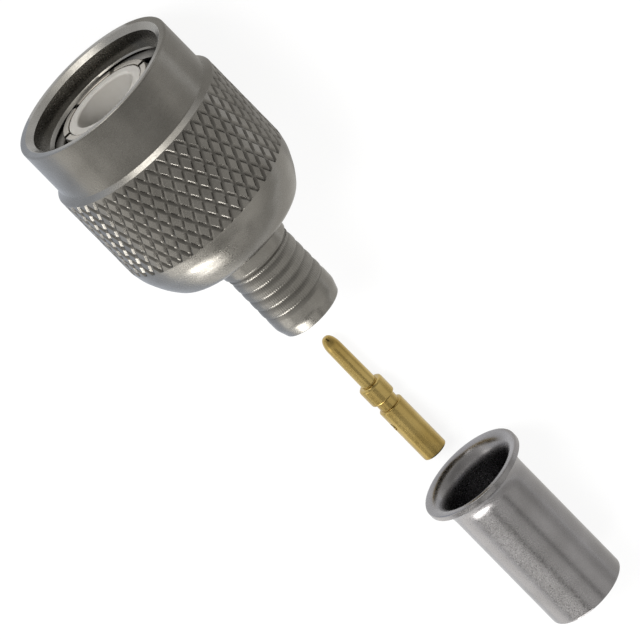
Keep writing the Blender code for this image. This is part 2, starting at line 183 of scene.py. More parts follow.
# %% World
FILL_STRENGTH = 0.55
world = bpy.data.worlds.new("studio")
bpy.context.scene.world = world
world.use_nodes = True
tree = world.node_tree
tree.nodes.clear()
fill_light = add(tree, "ShaderNodeBackground", {}, {"Color": linear("#f4f2ee"), "Strength": FILL_STRENGTH})
white_ground = add(tree, "ShaderNodeBackground", {}, {"Color": (1, 1, 1, 1), "Strength": 1.0})
mixed = add(tree, "ShaderNodeMixShader", {},
            {0: background_rays(tree), 1: fill_light.outputs[0], 2: white_ground.outputs[0]})
add(tree, "ShaderNodeOutputWorld", {}, {"Surface": mixed.outputs[0]})
print("world fill", FILL_STRENGTH)

# %% Table
TABLE_SIDE = 3.0
TABLE_GLOW, TABLE_WHITE = 0.8, 1.06
table_finish, tree = new_material("white_table")
matt = add(tree, "ShaderNodeBsdfDiffuse", {}, {"Color": linear("#e6e6e6")})
glow = add(tree, "ShaderNodeEmission", {}, {"Color": (1, 1, 1, 1), "Strength": TABLE_WHITE})
share = add(tree, "ShaderNodeMath", {"operation": "MULTIPLY"}, {0: background_rays(tree), 1: TABLE_GLOW})
mixed = add(tree, "ShaderNodeMixShader", {}, {0: share.outputs[0], 1: matt.outputs[0], 2: glow.outputs[0]})
add(tree, "ShaderNodeOutputMaterial", {}, {"Surface": mixed.outputs[0]})
half = TABLE_SIDE / 2
table_mesh = bpy.data.meshes.new("table")
table_corners = [(-half, -half, 0), (half, -half, 0), (half, half, 0), (-half, half, 0)]
table_mesh.from_pydata(table_corners, [], [(0, 1, 2, 3)])
table_mesh.materials.append(table_finish)
table = bpy.data.objects.new("table", table_mesh)
bpy.context.scene.collection.objects.link(table)
print("table", TABLE_SIDE, "m square")

# %% Lamps
LAMP_DISTANCE, AIM_HEIGHT = 0.7, 0.008


def lamp(name, direction, side, watts):
    """A square area lamp (m). It lights the set but, unlike the boards below, isn't mirrored in it."""
    towards = Vector(direction).normalized()
    light = bpy.data.lights.new(name, "AREA")
    light.size = side
    light.energy = watts
    obj = bpy.data.objects.new(name, light)
    obj.location = Vector((0.0, 0.0, AIM_HEIGHT)) + LAMP_DISTANCE * towards
    obj.rotation_euler = (-towards).to_track_quat("-Z", "Y").to_euler()
    obj.visible_glossy = False
    bpy.context.scene.collection.objects.link(obj)


lamp("key", (-0.5, -0.45, 0.75), 0.3, 4.0)
lamp("side", (0.3, -0.8, 0.35), 0.4, 2.0)
lamp("back", (0.75, 0.3, 0.6), 0.3, 2.0)
print("lamps", len(bpy.data.lights))

# %% [markdown]
# ## Boards
# Plated metal shows its surroundings, so a photographer stands white and grey boards round it,
# inside a grey tent. These are seen only in reflections. A cylinder that lies along X mirrors,
# for a camera above its -X end, a half circle of directions: the table on the -Y side, then up
# over the top, and down to the table on the +Y side. The boards give that half circle its light
# and dark stretches. Small boards close by serve one piece each.

# %% What the metal sees
def glow_object(name, points, faces, strength, colour="#fffcf6"):
    """A surface (mm) that glows in reflections only, where strength 1 is white and 0.4 a dark grey."""
    finish, tree = new_material(name)
    shine = add(tree, "ShaderNodeEmission", {}, {"Color": linear(colour), "Strength": strength})
    add(tree, "ShaderNodeOutputMaterial", {}, {"Surface": shine.outputs[0]})
    mesh = bpy.data.meshes.new(name)
    mesh.from_pydata((np.array(points, float) * MM).tolist(), [], faces)
    mesh.materials.append(finish)
    obj = bpy.data.objects.new(name, mesh)
    bpy.context.scene.collection.objects.link(obj)
    obj.visible_camera = False
    obj.visible_diffuse = False
    obj.visible_shadow = False


def board(name, corner, edge, other_edge, strength, colour="#fffcf6"):
    """A flat board from one corner (mm) along two edges."""
    corner, edge, other_edge = (np.array(v, float) for v in (corner, edge, other_edge))
    points = [corner, corner + edge, corner + edge + other_edge, corner + other_edge]
    glow_object(name, points, [(0, 1, 2, 3)], strength, colour)


# %% Tent
TENT_RADIUS, TENT_STRENGTH = 700.0, 0.58
ROUND_STEPS, RISE_STEPS = 48, 12
turns, rises = np.meshgrid(
    np.linspace(0, 2 * math.pi, ROUND_STEPS + 1), np.linspace(0, math.pi / 2, RISE_STEPS + 1), indexing="ij")
directions = np.stack([np.cos(turns) * np.cos(rises), np.sin(turns) * np.cos(rises), np.sin(rises)], axis=-1)
i, j = np.meshgrid(np.arange(ROUND_STEPS), np.arange(RISE_STEPS), indexing="ij")
low = i * (RISE_STEPS + 1) + j
beside = low + RISE_STEPS + 1
tent_faces = np.stack([low, beside, beside + 1, low + 1], axis=-1).reshape(-1, 4).tolist()
glow_object("tent", TENT_RADIUS * directions.reshape(-1, 3), tent_faces, TENT_STRENGTH)
print("tent", len(tent_faces), "faces")

# %% Boards round the plug
board("over_nut", (-60, -2, 62), (62, 0, 0), (0, 100, 0), 0.36)
board("over_nut_left", (-60, -64, 62), (62, 0, 0), (0, 62, 0), 0.46)
board("beside_nut", (-45, -48, 0), (48, 0, 0), (0, 0, 26), 1.0)
# The ground boards lie on the table and are seen only in reflections: ground_right and ground_left are painted
# shade of the table round the plug.
board("ground_right", (-70, 5, 0.05), (62, 0, 0), (0, 120, 0), 0.52)
board("ground_left", (-70, -46, 0.05), (80, 0, 0), (0, 41, 0), 0.85, "#eef4ff")
board("beside_tail", (4, -46, 0), (12, 0, 0), (0, 0, 30), 1.9)
board("front_light", (-300, -115, 5), (0, 130, 0), (0, 0, 130), 5.0)
board("front_light_right", (-300, 15, 5), (0, 150, 0), (0, 0, 130), 1.5)
board("tail_light", (217, -190, -11), (30, 120, 150), (-42, -39, 40), 9.5)

# %% Boards round the pin and the ferrule
board("over_ferrule", (3, -80, 58), (93, 0, 0), (0, 180, 0), 0.8)
board("pin_flag", (15, -28, 52), (15, 0, 0), (0, 34, 0), 0.3)
board("ferrule_flag_left", (34, -33, 52), (50, 0, 0), (0, 13, 0), 0.2)
board("ferrule_flag_right", (34, 13, 52), (50, 0, 0), (0, 10, 0), 0.2)
# ferrule_ground_right is painted shade of the table beside the ferrule, and ferrule_ground_left is painted
# light on the table's lit side.
board("ferrule_ground_right", (-8, 4, 0.05), (100, 0, 0), (0, 60, 0), 0.8)
board("ferrule_ground_left", (14, -40, 0.05), (80, 0, 0), (0, 32, 0), 1.45)

# %% [markdown]
# ## Metals
# Nearly every surface here was cut on a lathe and then plated. The cut leaves very fine
# rings round the axis, the plate softens them, and handling leaves a faint cloudiness, in
# patches of about 3 mm, over a grain of about 0.2 mm. One function draws that, and each metal
# then gives its own colours and sizes. Where a piece has the attribute recess, the metal is
# painted dark there: painted shade in grooves, hollows and bores.

# %% Plated metal
CLOUDS_PER_MM, GRAINS_PER_MM = 0.35, 5.0
RING_STRETCH = 0.06
SMOOTHER, ROUGHER = 0.04, 0.05
# The near black that the painted shade in grooves and hollows goes towards.
PAINTED_SHADE_COLOUR = "#17130e"


def plated_metal(name, light, dark, roughness, ring_mm, ring_depth_mm, start, tilt=0.0, recess=0.0):
    """Metal shader. Rings: noise stretched round the axis. Cloud: slow noise between two colours."""
    made, tree = new_material(name)
    place = add(tree, "ShaderNodeTexCoord", {}, {})
    on_axis = add(tree, "ShaderNodeMapping", {"vector_type": "TEXTURE"}, {
        "Vector": place.outputs["Object"],
        "Location": tuple(start * MM),
        "Rotation": (0.0, tilt, 0.0),
        "Scale": (MM, MM, MM),
    })
    stretched = add(tree, "ShaderNodeMapping", {}, {
        "Vector": on_axis.outputs[0],
        "Scale": (1 / ring_mm, RING_STRETCH, RING_STRETCH),
    })
    rings = add(tree, "ShaderNodeTexNoise", {}, {"Vector": stretched.outputs[0], "Scale": 1.0, "Detail": 3.0})
    cloud = add(tree, "ShaderNodeTexNoise", {}, {
        "Vector": on_axis.outputs[0], "Scale": CLOUDS_PER_MM, "Detail": 4.0})
    grain = add(tree, "ShaderNodeTexNoise", {}, {
        "Vector": on_axis.outputs[0], "Scale": GRAINS_PER_MM, "Detail": 3.0})
    tone = add(tree, "ShaderNodeMapRange", {}, {
        "Value": cloud.outputs["Fac"], "From Min": 0.35, "From Max": 0.65})
    plate = add(tree, "ShaderNodeMix", {"data_type": "RGBA"}, {
        "Factor": tone.outputs[0], 6: linear(dark), 7: linear(light)})
    colour = plate.outputs[2]
    # Painted shade: the colour goes towards a near black, by the attribute recess times recess.
    if recess:
        depth = add(tree, "ShaderNodeAttribute", {"attribute_name": "recess"}, {})
        amount = add(tree, "ShaderNodeMath", {"operation": "MULTIPLY"}, {0: depth.outputs["Fac"], 1: recess})
        shaded = add(tree, "ShaderNodeMix", {"data_type": "RGBA"}, {
            "Factor": amount.outputs[0], 6: colour, 7: linear(PAINTED_SHADE_COLOUR)})
        colour = shaded.outputs[2]
    rough = add(tree, "ShaderNodeMapRange", {}, {
        "Value": grain.outputs["Fac"], "From Min": 0.3, "From Max": 0.7,
        "To Min": roughness - SMOOTHER, "To Max": roughness + ROUGHER})
    bump = add(tree, "ShaderNodeBump", {}, {
        "Height": rings.outputs["Fac"], "Strength": 1.0, "Distance": ring_depth_mm * MM})
    shader = add(tree, "ShaderNodeBsdfPrincipled", {}, {
        "Base Color": colour, "Roughness": rough.outputs[0], "Metallic": 1.0, "Normal": bump.outputs[0]})
    add(tree, "ShaderNodeOutputMaterial", {}, {"Surface": shader.outputs[0]})
    return made


# %% [markdown]
# ### Satin nickel
# Brass turned, then plated with satin nickel: a grey with soft streaks of light along the
# plug. The rings of the cut are finer than a pixel here, so they are drawn 0.2 mm apart. The
# slotted sleeve is plated bright, and is a little lighter and smoother.

# %% Satin nickel
satin_nickel = plated_metal("satin_nickel", "#908e8a", "#83817d", 0.28, 0.2, 0.003, PLUG_START, recess=0.85)
bright_nickel = plated_metal("bright_nickel", "#aaa59c", "#9b968e", 0.24, 0.15, 0.003, PLUG_START)
print("plug metals ready")

# %% [markdown]
# ### Nickel of the ferrule
# The ferrule is drawn, softened by heat and plated in its own bath, and its grey is cooler.

# %% Cool nickel
cool_nickel = plated_metal("cool_nickel", "#969598", "#8a898b", 0.27, 0.25, 0.002, FERRULE_START, FERRULE_TILT)
print("ferrule metal leans with it by", round(math.degrees(FERRULE_TILT), 2), "degrees")

# %% [markdown]
# ### Gold on the pin
# Flash gold over nickel and brass: a greenish old gold, a little smoother than the nickel.

# %% Gold plate
gold_plate = plated_metal("gold_plate", "#bba468", "#a58c50", 0.24, 0.15, 0.002, PIN_START, recess=0.8)
print("gold lies on the pin's line, at", PIN_START.round(2))

# %% [markdown]
# ### White PTFE
# The insulator is turned from PTFE, a waxy white plastic that light enters a little way. It
# has hardly any gloss of its own, and its surface is very slightly uneven.

# %% White PTFE
SPECKS_PER_MM, SPECK_HEIGHT = 0.9, 0.004


def waxy_plastic(name, light, dark, roughness, depth_mm):
    """Plastic that scatters light below its surface, clouded very slightly by one slow noise."""
    made, tree = new_material(name)
    place = add(tree, "ShaderNodeTexCoord", {}, {})
    cloud = add(tree, "ShaderNodeTexNoise", {}, {
        "Vector": place.outputs["Object"], "Scale": SPECKS_PER_MM / MM, "Detail": 3.0})
    colour = add(tree, "ShaderNodeMix", {"data_type": "RGBA"}, {
        "Factor": cloud.outputs["Fac"], 6: linear(dark), 7: linear(light)})
    bump = add(tree, "ShaderNodeBump", {}, {
        "Height": cloud.outputs["Fac"], "Strength": 1.0, "Distance": SPECK_HEIGHT * MM})
    shader = add(tree, "ShaderNodeBsdfPrincipled", {}, {
        "Base Color": colour.outputs[2], "Roughness": roughness, "Normal": bump.outputs[0],
        "Subsurface Weight": 0.4, "Subsurface Radius": (1.0, 0.95, 0.9),
        "Subsurface Scale": depth_mm * MM, "IOR": 1.38})
    add(tree, "ShaderNodeOutputMaterial", {}, {"Surface": shader.outputs[0]})
    return made


white_ptfe = waxy_plastic("white_ptfe", "#b2b0ac", "#a5a19a", 0.42, 0.5)
print("plastic ready", white_ptfe.name)

# %% [markdown]
# ### Silicone and spring steel
# Two pieces lie inside the nut: a moulded ring of red silicone, matt and a little
# translucent, and an open ring bent from bright drawn steel wire, with fine lines along it.

# %% Silicone and spring steel
silicone = waxy_plastic("silicone", "#c8583a", "#b64a30", 0.55, 0.3)
spring_steel = plated_metal("spring_steel", "#a8a8a8", "#969696", 0.25, 0.15, 0.002, PLUG_START)
print("materials, with the frame's plain ones", len(bpy.data.materials))

# %% [markdown]
# ## Surfaces on a grid
# Every piece is a section turned about its axis, so it is a grid of points: rows go along
# the section and columns go round the axis. The section is drawn as its corners, each with
# the size of its own rounding, because a rounded edge is what catches the light. A short flat
# step on each side of the rounding keeps the shading of the faces beside it even.

# %% Sections with eased corners
FLAT_STEP = 1.25


def eased(corners, closed=True, steps=4):
    """Each (x, radius, ease) corner becomes a quadratic curve from a point before it to one after it."""
    corners = np.array(corners, float)
    before = np.roll(corners, 1, axis=0)[:, :2]
    after = np.roll(corners, -1, axis=0)[:, :2]
    here, ease = corners[:, :2], corners[:, 2:]
    if not closed:
        ease[0] = ease[-1] = 0.0
    to_before, to_after = before - here, after - here
    way_in = to_before / np.maximum(np.linalg.norm(to_before, axis=1, keepdims=True), 1e-9)
    way_out = to_after / np.maximum(np.linalg.norm(to_after, axis=1, keepdims=True), 1e-9)
    t = np.linspace(0, 1, steps + 1)[None, :, None]
    start, end = (here + way_in * ease)[:, None], (here + way_out * ease)[:, None]
    curve = (1 - t) ** 2 * start + 2 * t * (1 - t) * here[:, None] + t ** 2 * end
    lead = (here + way_in * ease * FLAT_STEP)[:, None]
    trail = (here + way_out * ease * FLAT_STEP)[:, None]
    points = np.concatenate([lead, curve, trail], axis=1)
    return np.concatenate([points[i] if ease[i] > 0 else here[i:i + 1] for i in range(len(corners))])


def arc(x_start, r_start, x_end, r_end, steps, along_first=True):
    """Points of a quarter ellipse between two corners, with no easing: x by sine, radius by cosine."""
    angle = np.linspace(0, math.pi / 2, steps + 1)
    a, b = np.sin(angle), 1 - np.cos(angle)
    if not along_first:
        a, b = b, a
    x = x_start + (x_end - x_start) * a
    r = r_start + (r_end - r_start) * b
    return [(float(p), float(q), 0.0) for p, q in zip(x, r)]


print("a square's corners become", len(eased([(0, 1, 0.1), (0, 2, 0.1), (1, 2, 0.1), (1, 1, 0.1)])), "points")

# %% [markdown]
# ## Meshes
# A grid turned about X becomes a mesh in three steps: the points go round the axis, the quads
# join each point to its neighbours, and the whole is moved to its piece's place. If the quads
# face inwards, which the sign of the volume tells, they are all turned over.

# %% Points, faces and meshes
SHARP_ANGLE = math.radians(35)


def turned_points(x, radius, angle):
    """Points round the axis: (x, radius * cos angle, radius * sin angle)."""
    x, radius, angle = np.broadcast_arrays(x, radius, angle)
    return np.stack([x, radius * np.cos(angle), radius * np.sin(angle)], axis=-1)


def grid_faces(rows, columns, close_rows=True):
    """The quads of a grid whose columns close on themselves, as rows of four indices."""
    last = rows if close_rows else rows - 1
    i, j = np.meshgrid(np.arange(last), np.arange(columns), indexing="ij")
    k, m = (i + 1) % rows, (j + 1) % columns
    quads = [i * columns + j, i * columns + m, k * columns + m, k * columns + j]
    return np.stack(quads, axis=-1).reshape(-1, 4)


def placed(points, start, tilt=0.0):
    """Leans points about Y by tilt, then moves them to their piece's start."""
    c, s = math.cos(tilt), math.sin(tilt)
    turn = np.array([[c, 0.0, s], [0.0, 1.0, 0.0], [-s, 0.0, c]])
    return points @ turn.T + start


def signed_volume(points, faces):
    """Six times the volume inside: the sum of each triangle's corner triple product."""
    total = 0.0
    for a, b, c in ((0, 1, 2), (0, 2, 3)):
        if faces.shape[1] > c:
            p, q, r = points[faces[:, a]], points[faces[:, b]], points[faces[:, c]]
            total += np.einsum("ij,ij->i", p, np.cross(q, r)).sum()
    return total


def make_piece(name, points, face_sets, finish, body, nodes, recess=None):
    """Puts points (mm) and faces into a mesh that faces outwards, shades it and hangs it on its body."""
    inside_out = sum(signed_volume(points - points.mean(axis=0), faces) for faces in face_sets) < 0
    polygons = []
    for faces in face_sets:
        polygons += (faces[:, ::-1] if inside_out else faces).tolist()
    mesh = bpy.data.meshes.new(name)
    mesh.from_pydata((points * MM).tolist(), [], polygons)
    mesh.shade_smooth()
    mesh.set_sharp_from_angle(angle=SHARP_ANGLE)
    if recess is not None:
        shade = mesh.attributes.new("recess", "FLOAT", "POINT")
        shade.data.foreach_set("value", recess.astype(np.float32).ravel())
    mesh.materials.append(finish)
    obj = bpy.data.objects.new(name, mesh)
    bpy.context.scene.collection.objects.link(obj)
    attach(obj, body)
    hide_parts(*nodes)
    print(name, len(points), "points,", len(polygons), "faces")


# %% [markdown]
# ## Coupling nut, outside
# The nut is one turned piece. Its middle is knurled: a tool with two crossed wheels rolled
# grooves of both hands into it, and flat-topped diamonds are left between them. The grid of
# the knurl runs along the two families of grooves, so every edge of a diamond lies on a
# line of the grid and stays crisp. Shares of a pitch say where a groove's floor and edge lie.

# %% Nut sizes
RIM_RADIUS = 7.15
KNURL_START, KNURL_LENGTH, KNURL_DEPTH = 4.92, 7.6, 0.125
KNURL_END = KNURL_START + KNURL_LENGTH
KNURL_STARTS, KNURL_TIERS = 46, 4
NUT_END = 16.65
THREAD_MINOR, THREAD_MAJOR, THREAD_PITCH = 5.15, 5.56, 25.4 / 28
THREAD_START, THREAD_END = 1.62, 8.35
GROOVE_FLOOR, GROOVE_EDGE = 0.015, 0.2
SIDES = np.array([0.0, GROOVE_FLOOR, GROOVE_EDGE, 0.24, 0.5, 0.76, 1 - GROOVE_EDGE, 1 - GROOVE_FLOOR])
COLUMNS = KNURL_STARTS * len(SIDES)
column_share = (np.arange(KNURL_STARTS)[:, None] + SIDES[None]).ravel()
NUT_ANGLES = 2 * math.pi * column_share / KNURL_STARTS
print("columns round the nut", COLUMNS)

# %% Knurl as two crossed families of grooves
def groove(share):
    """Depth 1 on a groove's floor, 0 on the flat: a V as wide as twice its edge's share of the pitch."""
    away_from_middle = np.abs(share - np.round(share))
    return np.clip((GROOVE_EDGE - away_from_middle) / (GROOVE_EDGE - GROOVE_FLOOR), 0, 1)


def knurl_band():
    """Point (s, t): angle from s + t and x from s - t, radius lowered by the deeper of the two grooves."""
    per = len(SIDES)
    steps = 2 * KNURL_TIERS * per
    d, j = np.meshgrid(np.arange(steps + 1), np.arange(COLUMNS), indexing="ij")
    i = d + j
    s = i // per + SIDES[i % per]
    t = j // per + SIDES[j % per]
    angle = math.pi * (s + t) / KNURL_STARTS
    x = KNURL_START + KNURL_LENGTH * (s - t) / (2 * KNURL_TIERS)
    depth = np.maximum(groove(s), groove(t))
    radius = KNURL_RADIUS - KNURL_DEPTH * depth
    index = d * COLUMNS + j
    beside = np.roll(index, -1, axis=1)
    quads = np.stack([index[1:-1], index[2:], beside[1:-1], beside[:-2]], axis=-1).reshape(-1, 4)
    first = np.stack([index[0], index[1], beside[0]], axis=-1)
    last = np.stack([index[-1], beside[-1], beside[-2]], axis=-1)
    return turned_points(x, radius, angle).reshape(-1, 3), quads, np.concatenate([first, last]), depth.ravel()


knurl_points, knurl_quads, knurl_triangles, knurl_depth = knurl_band()
print("knurl points", len(knurl_points))

# %% Smooth sections of the nut
# Front: the mouth's chamfer, the rim, the band and the short shoulder up to the knurl.
MOUTH_RADIUS = 6.1
front_section = eased([
    (0.38, MOUTH_RADIUS, 0.08), (0.0, 6.58, 0.05), (0.0, RIM_RADIUS, 0.16),
    (4.46, RIM_RADIUS, 0.05), (4.83, KNURL_RADIUS, 0.03), (KNURL_START - 0.04, KNURL_RADIUS, 0.0),
], closed=False)

# Rear: the dome, the back, the hole for the body's collar and the wall behind the thread.
rear_section = eased([
    (KNURL_END + 0.04, KNURL_RADIUS, 0.0), (KNURL_END + 0.2, KNURL_RADIUS - 0.02, 0.1),
    (13.7, 7.39, 0.45), (15.15, 6.74, 0.6), (16.25, 5.95, 0.45), (NUT_END, 4.9, 0.3), (NUT_END, 3.28, 0.05),
    (NUT_END - 0.12, 3.17, 0.05), (14.15, 3.17, 0.0), (14.15, THREAD_MINOR, 0.0),
    (THREAD_END, THREAD_MINOR, 0.0),
], closed=False, steps=6)
print("section points", len(front_section), len(rear_section))

# %% [markdown]
# ## Coupling nut, inside
# A 7/16-28 thread: 28 ridges to the inch, 0.41 mm deep. Its surface is a radius that depends
# on x and on the angle together, so that one turn moves it along by one pitch. The thread
# fades in over its first half turn, as a thread does that a chamfer cuts away. As drawn it is
# left-handed. The real one is right-handed, which a minus sign before turn would give.

# %% Thread
STEPS_PER_PITCH = 8
CREST_SHARE, FLANK_SHARE = 0.12, 0.76
FADE_IN, FADE_OUT = 0.4, 0.3


def thread_rows():
    """Radius = minor + depth * ridge(x / pitch + angle / turn), where ridge is a clipped triangle wave."""
    length = THREAD_END - THREAD_START
    rows = int(length / THREAD_PITCH * STEPS_PER_PITCH)
    x = np.linspace(THREAD_END - 0.02, THREAD_START, rows)[:, None]
    turn = NUT_ANGLES[None] / (2 * math.pi)
    wave = np.abs(((x / THREAD_PITCH + turn) % 1.0) * 2 - 1)
    ridge = np.clip((wave - CREST_SHARE) / FLANK_SHARE, 0, 1)
    fade_in = np.clip((x - THREAD_START) / FADE_IN, 0, 1)
    fade_out = np.clip((THREAD_END - x) / FADE_OUT, 0, 1)
    lead = THREAD_MAJOR + (THREAD_MINOR - THREAD_MAJOR) * fade_in
    cut = THREAD_MINOR + (THREAD_MAJOR - THREAD_MINOR) * ridge * fade_out
    radius = np.maximum(lead, cut)
    depth = (radius - THREAD_MINOR) / (THREAD_MAJOR - THREAD_MINOR) * fade_in
    return turned_points(x, radius, NUT_ANGLES[None]), depth


thread, thread_depth = thread_rows()
mouth_section = np.array([(THREAD_START, MOUTH_RADIUS), (0.52, MOUTH_RADIUS)])
print("thread rows", len(thread))

# %% [markdown]
# ## Coupling nut, put together
# The thread and the smooth sections have the same columns as the knurl, so all of them make
# one closed skin. The knurl's columns follow one family of grooves, so its last ring is turned
# against its first by the twist of a groove, and the faces that join it allow for that.

# %% Nut put together
# Share of painted shade on the floors of the knurl's grooves.
KNURL_PAINTED_SHADE = 0.5


def ring_block(section):
    """Rows of rings, one for each section point."""
    return turned_points(section[:, :1], section[:, 1:2], NUT_ANGLES[None])


def coupling_nut():
    """One closed grid: rows go from the knurl over the back, up the bore and out over the rim to the knurl."""
    front, rear, mouth = ring_block(front_section), ring_block(rear_section), ring_block(mouth_section)
    loop = np.concatenate([rear, thread, mouth, front])
    rows = len(loop)
    twist = KNURL_TIERS * len(SIDES)
    around = np.arange(COLUMNS)
    after = (around + 1) % COLUMNS
    turned = (around + twist) % COLUMNS
    turned_after = (turned + 1) % COLUMNS
    front_ring = (rows - 1) * COLUMNS
    knurl_first = rows * COLUMNS
    knurl_last = knurl_first + 2 * twist * COLUMNS
    faces = [
        grid_faces(rows, COLUMNS, close_rows=False),
        np.stack([front_ring + around, front_ring + after, knurl_first + after, knurl_first + around], -1),
        np.stack([knurl_last + around, knurl_last + after, turned_after, turned], -1),
        knurl_quads[:, ::-1] + knurl_first,
        knurl_triangles[:, ::-1] + knurl_first,
    ]
    points = np.concatenate([loop.reshape(-1, 3), knurl_points])
    # Painted shade: the thread's grooves and the floors of the knurl's grooves darken the metal through the
    # attribute recess.
    recess = np.zeros((rows, COLUMNS))
    recess[len(rear):len(rear) + len(thread)] = thread_depth
    recess = np.concatenate([recess.ravel(), KNURL_PAINTED_SHADE * knurl_depth ** 6])
    make_piece("knurled_nut", placed(points, PLUG_START), faces, satin_nickel, "nut", ["coupling_nut"], recess)


coupling_nut()

# %% [markdown]
# ## Body and tail
# Only the body's tail shows. Cable braid is crimped on it, so it has shallow grooves, and
# fine ribs along the ridges between them that bite into the braid.

# %% Body section
COLLAR_RADIUS, COLLAR_END = 3.02, 18.25
FLANGE_FRONT, FLANGE_REAR, FLANGE_RADIUS = 9.75, 13.85, 5.05
RING_GROOVE_FRONT, RING_GROOVE_REAR, RING_GROOVE_RADIUS = 12.0, 13.1, 4.3
FIRST_GROOVE, RIDGE_PITCH, RIDGES, RIDGE_DEPTH = 18.85, 0.94, 5, 0.06
LAST_GROOVE = FIRST_GROOVE + (RIDGES - 1) * RIDGE_PITCH
RIDGE_SHARE, RIDGE_FALL, FLOOR_BEFORE = 0.62, 0.19, 0.02
FIRST_RIDGE_GAP = 0.32
UNDERCUT_RADIUS = 2.76
TAIL_END, TAIL_BORE, CUP_BORE, CUP_MOUTH = 24.76, 2.15, 3.55, 4.15


def body_section():
    """Corners of the body: flange with the retaining ring's groove, collar, ridges, tail's end and bores."""
    corners = [
        (FLANGE_FRONT, CUP_MOUTH, 0.03), (FLANGE_FRONT, FLANGE_RADIUS, 0.08),
        (RING_GROOVE_FRONT, FLANGE_RADIUS, 0.03), (RING_GROOVE_FRONT, RING_GROOVE_RADIUS, 0.03),
        (RING_GROOVE_REAR, RING_GROOVE_RADIUS, 0.03), (RING_GROOVE_REAR, FLANGE_RADIUS, 0.03),
        (FLANGE_REAR, FLANGE_RADIUS, 0.08), (FLANGE_REAR, COLLAR_RADIUS, 0.05),
        (COLLAR_END, COLLAR_RADIUS, 0.1), (COLLAR_END + 0.02, UNDERCUT_RADIUS, 0.05),
        (COLLAR_END + 0.2, UNDERCUT_RADIUS, 0.05),
    ]
    for ridge in range(RIDGES):
        groove_at = FIRST_GROOVE + ridge * RIDGE_PITCH
        crest = max(groove_at - RIDGE_SHARE * RIDGE_PITCH, COLLAR_END + FIRST_RIDGE_GAP)
        corners += [
            (crest, TAIL_RADIUS, 0.08), (groove_at - RIDGE_FALL, TAIL_RADIUS, 0.08),
            (groove_at - FLOOR_BEFORE, TAIL_RADIUS - RIDGE_DEPTH, 0.06),
        ]
    corners += [
        (LAST_GROOVE + 0.33, TAIL_RADIUS, 0.1), (TAIL_END - 0.9, TAIL_RADIUS - 0.01, 0.2),
        (TAIL_END, TAIL_RADIUS - 0.3, 0.08), (TAIL_END, TAIL_BORE + 0.1, 0.05),
        (TAIL_END - 0.1, TAIL_BORE, 0.05), (13.0, TAIL_BORE, 0.02), (13.0, CUP_BORE, 0.02),
        (11.2, CUP_BORE, 0.02), (11.2, CUP_MOUTH, 0.02),
    ]
    return eased(corners, steps=3)


# %% Body with ribs on its ridges
RIBS, RIB_HEIGHT, POINTS_PER_RIB = 96, 0.02, 4
# Shares of painted shade between the ribs and in the grooves between the ridges.
RIB_PAINTED_SHADE, GROOVE_SHADE = 0.2, 0.8
OUTSIDE_FROM = 2.6


def crimp_body():
    """Turned section; on the ridges the radius also waves RIBS times round by RIB_HEIGHT."""
    section = body_section()
    columns = RIBS * POINTS_PER_RIB
    angle = np.arange(columns)[None] * 2 * math.pi / columns
    x, radius = section[:, :1], section[:, 1:2]
    ridged = (radius > OUTSIDE_FROM) & (x > COLLAR_END + 0.25) & (x < LAST_GROOVE)
    wave = 0.5 - 0.5 * np.cos(RIBS * angle)
    ribbed = radius - RIB_HEIGHT * ridged * wave
    points = turned_points(x, ribbed, angle)
    groove_depth = np.clip((TAIL_RADIUS - 0.03 - radius) / RIDGE_DEPTH, 0, 1)
    # Painted shade: the metal darkens between the ribs and in the grooves between the ridges, through the
    # attribute recess.
    recess = ridged * (RIB_PAINTED_SHADE * wave + GROOVE_SHADE * groove_depth)
    faces = grid_faces(len(section), columns)
    make_piece("ridged_body", placed(points.reshape(-1, 3), PLUG_START), [faces], satin_nickel, "root",
               ["connector_body"], recess)


crimp_body()

# %% [markdown]
# ## Slotted sleeve
# The outer contact is a thin sleeve cut into six springy fingers. Each finger is a bent
# plate: a grid over its width and over its section, closed at its two sides, and the
# fingers join below the slots in a whole ring.

# %% Sleeve of six fingers
SLEEVE_IN, SLEEVE_OUT = 3.55, 4.1
SLEEVE_FRONT, SLEEVE_REAR = 1.35, 11.15
SWELL_AT, SWELL_END, SWELL_HEIGHT = 0.4, 1.0, 0.05
SLOTS, SLOT_HALF, SLOT_END = 6, 0.25, 6.55
POINTS_PER_FINGER = 17


def slotted_sleeve():
    """Each finger is the section turned from one slot's side to the next, with both its sides closed."""
    front = eased([
        (SLOT_END, SLEEVE_IN, 0.0), (SLEEVE_FRONT, SLEEVE_IN, 0.1), (SLEEVE_FRONT, SLEEVE_OUT, 0.1),
        (SLEEVE_FRONT + SWELL_AT, SLEEVE_OUT + SWELL_HEIGHT, 0.1), (SLEEVE_FRONT + SWELL_END, SLEEVE_OUT, 0.1),
        (SLOT_END, SLEEVE_OUT, 0.0),
    ], closed=False)
    per = POINTS_PER_FINGER
    finger = 2 * math.pi / SLOTS
    half_slot = SLOT_HALF / SLEEVE_OUT
    inner = np.linspace(half_slot, finger - half_slot, per)
    points, faces = [], []
    for slot in range(SLOTS):
        angle = (slot * finger + inner)[None]
        block = turned_points(front[:, :1], front[:, 1:2], angle)
        base = sum(len(p) for p in points)
        rows = len(front)
        i, j = np.meshgrid(np.arange(rows), np.arange(per - 1), indexing="ij")
        k = (i + 1) % rows
        quads = np.stack([i * per + j, i * per + j + 1, k * per + j + 1, k * per + j], -1)
        faces.append(base + quads.reshape(-1, 4))
        for side in (0, per - 1):
            inside = np.arange(rows // 2)
            outside = rows - 1 - inside
            strip = np.stack([inside[:-1], inside[1:], outside[1:], outside[:-1]], -1) * per + side + base
            faces.append(strip if side == 0 else strip[:, ::-1])
        points.append(block.reshape(-1, 3))
    return np.concatenate(points), faces


finger_points, finger_faces = slotted_sleeve()
print("sleeve fingers", SLOTS, "with", len(finger_points), "points")

